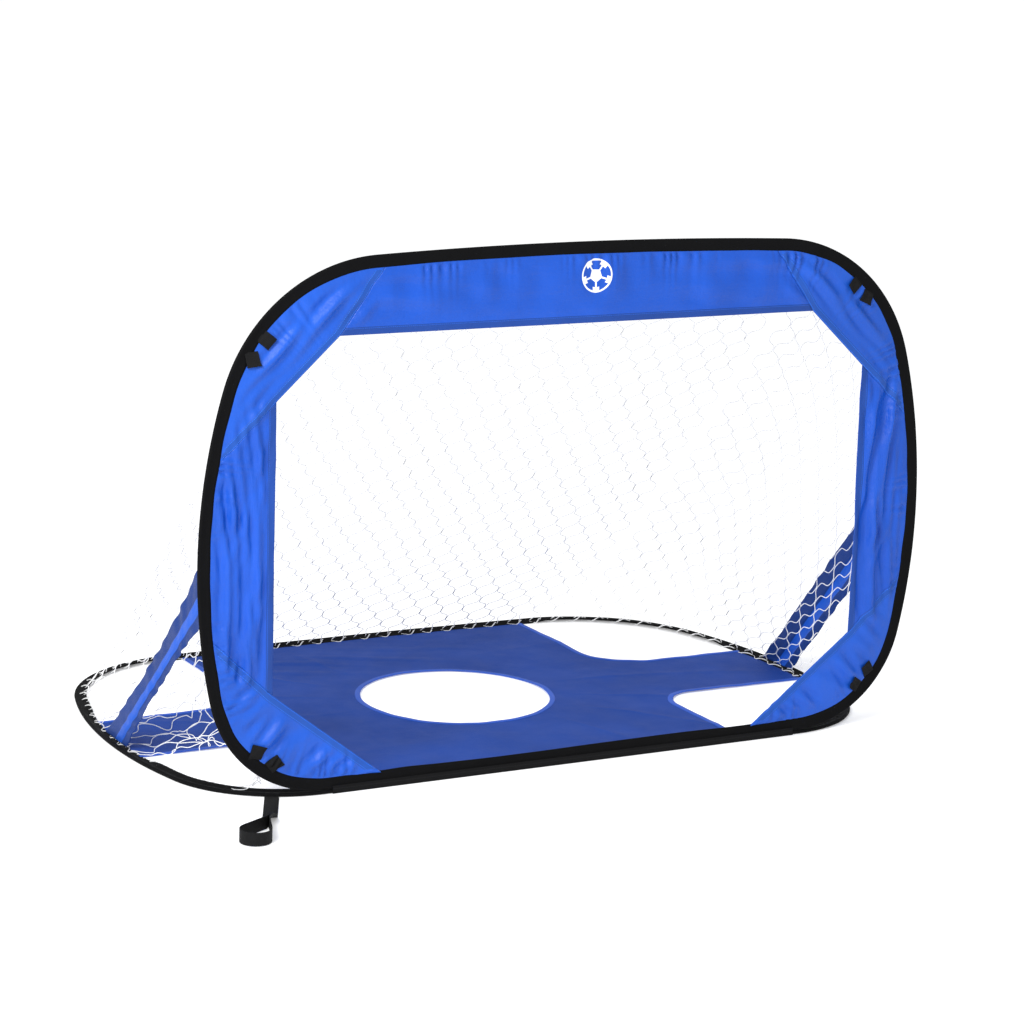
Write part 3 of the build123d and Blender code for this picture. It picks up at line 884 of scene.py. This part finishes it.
def cutPath(cut, toward, grow):
    # along one arm's edge, round the corner and along the other arm's edge, out past the hoop
    x, y, radius = cut[0] - grow, cut[1] - grow * toward, cut[2] + grow
    turn = np.linspace(0, math.pi / 2, 40)
    cornerX = x + radius - radius * np.sin(turn)
    cornerY = y + toward * (radius - radius * np.cos(turn))
    outX = np.linspace(goalWidth / 2 - 0.005, x + radius, 80)
    outY = np.linspace(y + toward * radius, y + toward * 0.33, 80)
    return np.concatenate([np.stack([outX, np.full(80, y)], -1), np.stack([cornerX, cornerY], -1)[1:],
                           np.stack([np.full(80, x), outY], -1)[1:]])


def trimToHoop(path, inset):
    # only the stretch of a path that lies inside the hoop's inset edge
    depth, _ = hoopDepth(lyingDepth, path[:, 0], path[:, 1] - baseLow.y)
    return path[depth > inset]


def hoopStretch(first, last, inset):
    # the base hoop's inset edge between the points nearest to two others, the short way round
    count = 4000
    s = np.linspace(0, outlineLength(lyingDepth), count)
    x, y, _, _ = outline(lyingDepth, s, inset)
    edge = np.stack([x, y + baseLow.y], -1)
    a, b = (int(np.linalg.norm(edge - point, axis=1).argmin()) for point in (first, last))
    span = (b - a + count // 2) % count - count // 2
    return edge[(a + np.arange(0, span, 1 if span > 0 else -1)) % count]


def sheetEdge(grow):
    # the sheet's whole outer edge, anticlockwise: four corner cuts joined by stretches of the hoop
    inset = hoop["band"] - 0.003
    mirror = np.array([-1, 1])
    frontRight = trimToHoop(cutPath(sheet["frontCut"], -1, grow), inset)
    rearRight = trimToHoop(cutPath(sheet["rearCut"], 1, grow), inset)
    order = [frontRight[::-1], rearRight, rearRight[::-1] * mirror, frontRight * mirror]
    edge = []
    for path, after in zip(order, order[1:] + order[:1]):
        edge += [path, hoopStretch(path[-1], after[0], inset)]
    return order, edge


def sheetDrape(x, y):
    # low folds across the cloth, and ridges that leave the hole towards the corners; flat at the hoop
    away = np.hypot(x, y - sheet["holeY"])
    flat = smooth(hoopDepth(lyingDepth, x, y - baseLow.y)[0] - hoop["band"], 0.0, 0.10)
    low = ripple(x, y, 31, 8, 0.14, 0.40) * 0.5 + 0.5
    angle = np.arctan2(y - sheet["holeY"], x)
    ridge = np.abs(np.sin(angle * 5 + 2.0 * np.sin(angle * 2 + 1) + away * 4))
    ridge = (1 - ridge) ** 5 * smooth(away, 0.17, 0.30)
    rearLeft = ripple(x, y, 32, 5, 0.035, 0.09, math.radians(62), 0.25)
    rearLeft = np.maximum(rearLeft, 0) * smooth(y, 0.45, 0.70) * (1 - smooth(x, 0.05, 0.25))
    small = ripple(x, y, 33, 8, 0.04, 0.11) * sheet["smallFold"]
    lift = sheet["fold"] * np.clip(low, 0, 1.3) + sheet["ridge"] * ridge
    lift = lift + sheet["rearFold"] * rearLeft + small
    return sheet["height"] + np.maximum(lift, 0) * (0.12 + 0.88 * flat)


def makeSheet():
    # rays from the hole's edge to the outer edge
    _, edge = sheetEdge(sheet["binding"] / 2)
    outer = np.concatenate([evenly(part, sheet["edgeStep"])[:-1] for part in edge])
    angle = np.arctan2(outer[:, 1] - sheet["holeY"], outer[:, 0])
    radius = sheet["holeRadius"] + sheet["binding"] / 2
    inner = np.stack([radius * np.cos(angle), sheet["holeY"] + radius * np.sin(angle)], -1)
    share = np.linspace(0, 1, sheet["rings"])[None, :, None]
    flat = inner[:, None] + (outer[:, None] - inner[:, None]) * share
    height = sheetDrape(flat[..., 0], flat[..., 1])
    points = np.concatenate([flat, height[..., None]], -1)
    cloth = np.concatenate([flat, flat[:1]], 0)
    piece = surface("targetSheet", points, cloth, finishes["sheet"], closeU=True)
    belong(thicken(piece, sheet["thickness"]), baseBody, "target_sheet")
    ring = np.concatenate([outer, outer[:1]])
    area = abs(0.5 * float(np.sum(ring[:-1, 0] * ring[1:, 1] - ring[1:, 0] * ring[:-1, 1])))
    area -= math.pi * radius ** 2


def makeBinding(node, path, closed):
    # a folded edge binding: a flat oval section carried along the edge on top of the sheet
    section = np.linspace(0, turnAround, 17)[:-1]
    if closed:
        tangent = unit(np.roll(path, -1, 0) - np.roll(path, 1, 0))
    else:
        tangent = unit(np.gradient(path, axis=0))
    normal = np.stack([tangent[:, 1], -tangent[:, 0]], -1)
    off = sheet["binding"] / 2 * np.cos(section)
    thick = sheet["bindingHeight"] * flatOval(section, 0.5)
    flat = path[:, None] + normal[:, None] * off[None, :, None]
    height = sheetDrape(path[:, 0], path[:, 1])[:, None] + thick[None]
    height = np.maximum(height + sheet["bindingOver"], sheet["lowest"])
    points = np.concatenate([flat, height[..., None]], -1)
    along = runLengths(path)
    if closed:
        along = np.append(along, 2 * along[-1] - along[-2])
    girth = np.linspace(0, sheet["bindingGirth"], len(section) + 1)
    cloth = together(along[:, None], girth[None])
    piece = surface(pieceName(node), points, cloth, finishes["binding"], closed, True, not closed)
    belong(piece, baseBody, node)


def makeBindings():
    # a circle for the hole, and one open path for each corner cut
    angle = np.arange(300) * turnAround / 300
    radius = sheet["holeRadius"] + sheet["binding"] / 2
    circle = np.stack([radius * np.cos(angle), sheet["holeY"] + radius * np.sin(angle)], -1)
    makeBinding("centre_hole_binding", circle, True)
    order, _ = sheetEdge(sheet["binding"] / 2)
    for corner, path in zip(("front_right", "rear_right", "rear_left", "front_left"), order):
        makeBinding(corner + "_binding", evenly(path, sheet["bindingStep"]), False)


net = {"inset": 0.014, "pitch": 0.0215, "cord": 0.00072, "mesh": 0.064, "steps": 230, "sides": 5,
       "sag": 0.018, "leftSlack": 0.10, "rightSlack": 0.028, "wander": 0.0022, "rest": 0.0042,
       "split": 0.40, "lowest": 0.05, "foot": 0.0046, "head": 0.0030, "settle": 0.4,
       "rough": 0.0018, "tangle": {"along": 0.010, "up": 0.006, "out": 0.012}}


def fanFold(piece, weights, start, end):
    # the piece bends across the fold like a fan: each point keeps its distance from the hinge and
    # turns by its own share of the fold, so that a folded goal has its net flat between the hoops
    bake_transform(piece, baseBody, frontBody, start=start, end=end)
    shares = piece.data.attributes["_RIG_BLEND"].data
    shares.foreach_set("value", weights.astype(np.float32).reshape(-1))


def foldShare(y, z):
    # the angle above the base hoop as a share of the right angle between the hoops
    angle = np.degrees(np.arctan2(z - foldHinge[2], y - foldHinge[1]))
    return np.clip((angle + net["settle"] * smooth(angle, 0.2, 3.0)) / 90, 0, 1)


def netPoints(s, share):
    # straight lines from the base hoop's edge to the same place on the standing hoop, with a sag;
    # the side nets hang slack and come in over the sheet
    bx, by, _, _ = outline(lyingDepth, s * outlineLength(lyingDepth), net["inset"])
    fx, fy, _, _ = outline(standingHeight, s * outlineLength(standingHeight), net["inset"])
    foot = layDown(bx, by, net["foot"])
    head = standUp(fx, fy, -net["head"])
    points = foot + (head - foot) * share[..., None]
    long = np.linalg.norm(head - foot, axis=-1)
    belly = 4 * share * (1 - share)
    side = smooth(np.abs(bx), 0.50, 0.595)
    slack = np.where(bx < 0, net["leftSlack"], net["rightSlack"]) * side
    drop = net["sag"] * belly * np.minimum(long / 0.8, 1) * (1 - 0.4 * side)
    points[..., 2] -= drop + 0.5 * slack * belly
    inward = slack * belly * (1.25 - 0.5 * share)
    points[..., 0] -= np.sign(bx) * inward
    points[..., 1] -= 0.35 * drop
    return points, long


def makeNet(node, first, last):
    # wavy cords side by side that touch their neighbours in turn: an open mesh with no knots
    whole, tangle = outlineLength(lyingDepth), net["tangle"]
    count = int((last - first) * whole / net["pitch"])
    lane = first + (np.arange(count) + 0.5) * net["pitch"] / whole
    if first < 0.5 < last:
        lane = lane + (0.5 * (first + last) - lane.mean())
    share = np.linspace(0, 1, net["steps"])[None]
    _, long = netPoints(np.broadcast_to(lane[:, None], (count, 2)), np.zeros((count, 2)))
    along = share * long[:, :1]
    wave = np.tanh(2.0 * np.sin(along * turnAround / net["mesh"])) / math.tanh(2.0)
    parity = np.where(np.round(lane * whole / net["pitch"] - 0.5).astype(int) % 2 == 0, 1.0, -1.0)
    reach = net["pitch"] / 2 - net["cord"]
    wander = net["wander"] * ripple(lane[:, None] * whole, along, 41, 9, 0.10, 0.35)
    loose = tangle["along"] * ripple(lane[:, None] * whole, along, 42, 9, 0.05, 0.16)
    leftSide = smooth(lane[:, None], 0.70, 0.76) * (1 - smooth(share, 0.35, 0.75))
    ends = smooth(share, 0.0, 0.03) * (1 - smooth(share, 0.97, 1.0))
    s = lane[:, None] + (parity[:, None] * reach * wave + wander + loose * leftSide) * ends / whole
    path, _ = netPoints(s, np.broadcast_to(share, s.shape))
    rough = ripple(lane[:, None] * whole, along, 43, 8, 0.06, 0.25)
    path[..., 2] += (net["rough"] + tangle["up"] * leftSide) * rough * ends
    sway = ripple(lane[:, None] * whole, along, 44, 8, 0.05, 0.2)
    path[..., 0] += tangle["out"] * leftSide * sway * ends
    path[..., 2] = np.maximum(path[..., 2], net["rest"])
    piece = tube(pieceName(node), path, np.full(path.shape[:2], net["cord"]), net["sides"],
                 (0.0, 0.7, 0.7), finishes["netCord"])
    weights = np.repeat(foldShare(path[..., 1], path[..., 2])[..., None], net["sides"], -1)
    fanFold(piece, weights, (0, lyingDepth, 0), (0, 0, standingHeight))
    belong(piece, None, node)
    print(piece.name, count, "cords,", path.size // 3 * net["sides"] * 2, "triangles")


lacing = {"pitch": 0.042, "skip": 0.075, "cord": 0.0009, "step": 0.0022, "sides": 6, "lift": 0.0008,
          "lowest": 0.0011, "middle": (0.0165, 0.0120), "reach": (0.0048, 0.0092),
          "height": (0.0026, 0.0042), "pressedTo": 0.0035, "pressed": 0.3}
headCord = {"radius": 0.0012, "behind": 0.0021, "step": 0.006, "wander": 0.0008, "pressedTo": 0.0006,
            "pressed": 0.25}


def makeLacing(first, last):
    # a cord wound round the base sleeve in a long flattened helix: round its inner edge at the
    # sides, and round the whole band at the rear
    whole = outlineLength(lyingDepth)
    s = np.arange(first * whole, last * whole, lacing["step"])
    turn = s * turnAround / lacing["pitch"] + 0.5 * np.sin(s * 23) + 0.4 * np.sin(s * 61)
    x, y, _, _ = outline(lyingDepth, s)
    rear = smooth(y, 0.56, 0.68)
    ends = [lacing[key] for key in ("middle", "reach", "height")]
    middle, reach, height = (a + (b - a) * rear for a, b in ends)
    inset = middle + reach * np.sin(turn)
    level = lacing["lift"] + baseLift(x, y, inset) + height * np.cos(turn)
    x, y, _, _ = outline(lyingDepth, s, inset)
    path = layDown(x, y, np.maximum(level, lacing["lowest"]))
    piece = tube("netLacing", path, np.full((1, len(s)), lacing["cord"]), lacing["sides"], (0, 0, 1),
                 finishes["netCord"])
    belong(piece, baseBody, "net_foot_cord")
    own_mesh(piece)
    print("net lacing", round(runLengths(path)[-1], 2), "m of cord")


def makeHeadCord(first, last):
    # the net's border cord behind the standing sleeve, which wanders a little across the band
    whole = outlineLength(standingHeight)
    s = np.arange(first * whole, last * whole, headCord["step"])
    x, y, _, _ = outline(standingHeight, s, net["inset"] + headCord["wander"] * np.sin(s * 90))
    path = standUp(x, y, -headCord["behind"])
    piece = tube("netHeadCord", path, np.full((1, len(s)), headCord["radius"]), 8, (0, 1, 0),
                 finishes["netCord"])
    belong(piece, frontBody, "net_head_cord")
    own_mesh(piece)
    print("net head cord", round(runLengths(path)[-1], 2), "m of cord")


def shareWhere(first, last, test):
    # the first share of the base outline, between two shares, at which the net's foot passes a test
    whole = outlineLength(lyingDepth)
    s = np.linspace(first * whole, last * whole, 4000)
    x, y, _, _ = outline(lyingDepth, s, net["inset"])
    return float(s[np.argmax(test(x, y))] / whole)


def makeNets():
    # the back net lies between the two places where it turns into a side net
    low = shareWhere(0.0, 0.5, lambda x, y: y > net["lowest"])
    split = shareWhere(0.3, 0.5, lambda x, y: x < net["split"])
    makeNet("net_right", low, split)
    makeNet("net_back", split, 1 - split)
    makeNet("net_left", 1 - split, 1 - low)
    makeLacing(low + lacing["skip"], 1 - low - lacing["skip"])
    makeHeadCord(low, 1 - low)


stay = {"foot": (0.305, 0.395), "x": 0.6030, "steps": 200, "across": 34, "thickness": 0.0006,
        "width": 0.105, "fullness": 1.12, "ruffleLength": 0.062, "bow": 0.004, "behind": 0.0036,
        "low": 0.0058, "stripeFold": 0.0016,
        "right": {"top": (0.335, 0.455), "pinch": 0.06, "ruffle": 0.0010, "scallop": 0.0009, "seed": 81},
        "left": {"top": (0.280, 0.370), "pinch": 0.30, "ruffle": 0.0012, "scallop": 0.0007, "seed": 85}}


def makeStay(word, side):
    # a strip from hoop to hoop; gathered along its length, its edges wander and ripple out of its
    # plane more than its middle does, and its middle draws in
    own, foot = stay[word], stay["foot"]
    top, seed = own["top"], own["seed"]
    t, w = np.linspace(0, 1, stay["steps"])[:, None], np.linspace(0, 1, stay["across"])[None]
    edge = np.abs(2 * w - 1)
    length = math.hypot(sum(top) / 2, sum(foot) / 2)
    phase = t * length * turnAround / stay["ruffleLength"]
    wobble = 1.6 * ripple(t * length, w * 0.05, seed, 5, 0.12, 0.4)
    wave = np.sin(phase + wobble + 1.7 * np.sign(w - 0.5) * edge) * edge ** 1.6
    ends = smooth(t, 0.0, 0.06) * (1 - smooth(t, 0.94, 1.0))
    drawn = 0.5 + (w - 0.5) * (1 - own["pinch"] * np.sin(math.pi * np.clip(t * 1.1, 0, 1)) ** 0.7)
    topHeight, footReach = top[0] + (top[1] - top[0]) * drawn, foot[0] + (foot[1] - foot[0]) * drawn
    scallop = np.sin(phase * 0.7 + 2.4 * ripple(t * length, 0 * w, seed + 2, 4, 0.1, 0.3))
    shift = own["scallop"] * scallop * (2 * w - 1) * edge * ends
    y = footReach + (frontMiddle + stay["behind"] - footReach) * t + 0.64 * shift
    z = stay["low"] + (topHeight - stay["low"]) * t + 0.77 * shift
    stripeFold = stay["stripeFold"] * (np.tanh((w - 0.27) * 24) - np.tanh((w - 0.52) * 24))
    crease = 0.5 * own["ruffle"] * ripple(t * length, w * 0.13, seed + 1, 7, 0.02, 0.06, 0.2, 0.6) * ends
    edgeOfHoop = float(outline(lyingDepth, headingLength(lyingDepth, 92), hoop["band"] * 0.7)[0])
    tuck = (1 - smooth(t, 0.0, 0.30)) * (stay["x"] - edgeOfHoop)
    out = stay["x"] - stay["bow"] * np.sin(math.pi * t) + own["ruffle"] * wave * ends + crease - tuck
    out = out + stripeFold * ends
    points = together(out * side, y, z)
    cloth = together(t * length, w * stay["width"])
    piece = thicken(surface(word + "Stay", points, cloth, finishes["stay"]), stay["thickness"])
    fanFold(piece, foldShare(points[..., 1], points[..., 2]), (0, foot[1], 0), (0, 0, top[1]))
    belong(piece, None, word + "_stay")


strap = {"heading": 25.0, "width": 0.020, "ply": 0.0013, "hinge": 0.0033, "tail": 0.088, "twist": 0.062,
         "turn": 16.0, "tip": 0.1433, "reach": 0.062, "radius": 0.023, "steps": 520, "softening": 19,
         "apart": 0.0008, "lowest": 0.6, "stacked": 1.15, "clear": 0.0004}


def strapPath():
    # out along the tail, round the loop and back, in the strap's own axes; seen from above. A
    # moving average rounds its corners
    reach, radius, tip = strap["reach"], strap["radius"], strap["tip"]
    angle = math.acos(radius / reach)
    bend = np.linspace(math.pi - angle, angle - math.pi, 160)
    loop = np.stack([reach + radius * np.cos(bend), radius * np.sin(bend)], -1)
    touch = np.array([reach - radius * math.cos(angle), radius * math.sin(angle)])
    first = np.linspace(0, 1, 60)[:, None] * touch
    loop = np.concatenate([first[:-1], loop, first[::-1][1:] * [1, -1]])
    turn = math.radians(-strap["turn"])
    turned = np.stack([loop[:, 0] * math.cos(turn) - loop[:, 1] * math.sin(turn) + tip,
                       loop[:, 0] * math.sin(turn) + loop[:, 1] * math.cos(turn)], -1)
    out = np.stack([np.linspace(strap["hinge"] - 0.001, tip, 60), np.full(60, strap["apart"])], -1)
    path = np.concatenate([out[:-1], turned, (out[::-1] * [1, -1])[1:]])
    lengths = runLengths(path)
    at = np.linspace(0, lengths[-1], strap["steps"])
    wide = strap["softening"]
    padded = np.pad(pointsAt(path, lengths, at), ((wide // 2, wide // 2), (0, 0)), "edge")
    return np.stack([np.convolve(padded[:, i], np.ones(wide) / wide, "valid") for i in range(2)], -1), at


def makeStrap():
    # a ribbon that lies flat on the ground by the hoop and turns on to its edge for the loop
    path, at = strapPath()
    total = at[-1]
    fromEnd = np.minimum(at, total - at)
    roll = smooth(fromEnd, strap["tail"], strap["tail"] + strap["twist"]) * math.pi / 2
    tangent = unit(np.gradient(path, axis=0))
    level = np.stack([-tangent[:, 1], tangent[:, 0], np.zeros(len(path))], -1)
    second = np.where(at > total / 2, -1.0, 1.0)
    across = level * (np.cos(roll) * second)[:, None] + np.array([0, 0, 1.0]) * np.sin(roll)[:, None]
    ply = strap["ply"]
    lowest = ply * strap["lowest"]
    lying = lowest + (at > total / 2) * ply * strap["stacked"]
    half = strap["width"] / 2
    height = lying * np.cos(roll) + (half + strap["clear"]) * np.sin(roll)
    centre = np.concatenate([path, height[:, None]], -1)
    w = np.linspace(-1, 1, 15)
    local = centre[:, None] + across[:, None] * (w * half)[None, :, None]
    local[..., 2] = np.maximum(local[..., 2], lowest)
    x, y, nx, ny = (float(a) for a in outline(lyingDepth, headingLength(lyingDepth, strap["heading"])))
    out, aside = local[..., 0], local[..., 1]
    points = np.stack([-x - out * nx - aside * ny, y + baseLow.y + out * ny - aside * nx,
                       local[..., 2]], -1)
    cloth = together(at[:, None], (w * half + half)[None])
    piece = thicken(surface("tetherStrap", points, cloth, finishes["webbing"]), ply, bevel=0.0002)
    belong(piece, strapBody, "tether_strap")
    print("strap webbing length", round(float(total), 3))


def finishNodes():
    # the parts that keep their own shape get a finish only
    rows = [("hinge_tape", "blackTape", "sleeve_fabric"), ("strap_anchor", "blackTape", "webbing")]
    rows += [(f"{word}_hoop_{part}", "steel", "spring_steel") for word in ("front", "base")
             for part in ("wire", "ferrule")]
    for name, finish, slot in rows:
        node = frame["nodes"][name]
        node.data.materials.clear()
        node.data.materials.append(finishes[finish])


makeCamera()
makeStudio()
finishes = {
    "panel": clothFinish("blueSideCloth", blues["panel"], 0.37, 0.28, 0.0030, pull=(2.4, 1, 0.45)),
    # corner cloth: its lighter blue is painted sheen of the bias-cut grain
    "gusset": clothFinish("blueCornerClothPaintedSheen", blues["gusset"], 0.37, 0.28, 0.0021),
    "topPanel": clothFinish("bluePrintedCloth", blues["panel"], 0.37, 0.28, 0.0026, printed=True,
                            pull=(0.5, 1, 2.0)),
    "hem": clothFinish("blueHemCloth", blues["hem"], 0.5, 0.25, 0.0004, stitches=(0.0095,)),
    "seamTape": clothFinish("blueSeamTape", blues["tape"], 0.5, 0.25, 0.0004, stitches=(0.0015, 0.0095)),
    "sheet": clothFinish("blueSheetCloth", blues["sheet"], 0.62, 0.12, 0.0005),
    "binding": clothFinish("blueBinding", blues["binding"], 0.55, 0.2, 0.0003),
    # the stay's middle stripe, three times lighter, is painted light through its one layer of cloth
    "stay": clothFinish("blueStayCloth", blues["stay"], 0.5, 0.15, 0.0006, stripe=(0.041, 0.0165, 3.0)),
    "sleeve": clothFinish("blackSleeveCloth", blacks["sleeve"], 0.74, 0.08, 0.0003),
    "webbing": webbingFinish("blackWebbing", blacks["webbing"]),
    "blackTape": tapeFinish(),
    "netCord": cordFinish("whiteNetCord"),
    "steel": steelFinish(),
}
print("finishes made")
makeSleeve("front_sleeve", standingHeight, standUp, False, 51, frontBody)
makeSleeve("base_sleeve", lyingDepth, layDown, True, 61, baseBody)
print("sleeves made")
makeFace()
for seed, (corner, heading) in enumerate(tabs["headings"].items(), 71):
    makeTabs(corner, heading, seed)
print("face made")
makeSheet()
makeBindings()
print("target sheet made")
makeNets()
print("net made")
makeStay("right", 1)
makeStay("left", -1)
makeStrap()
finishNodes()
print("stays and strap made")
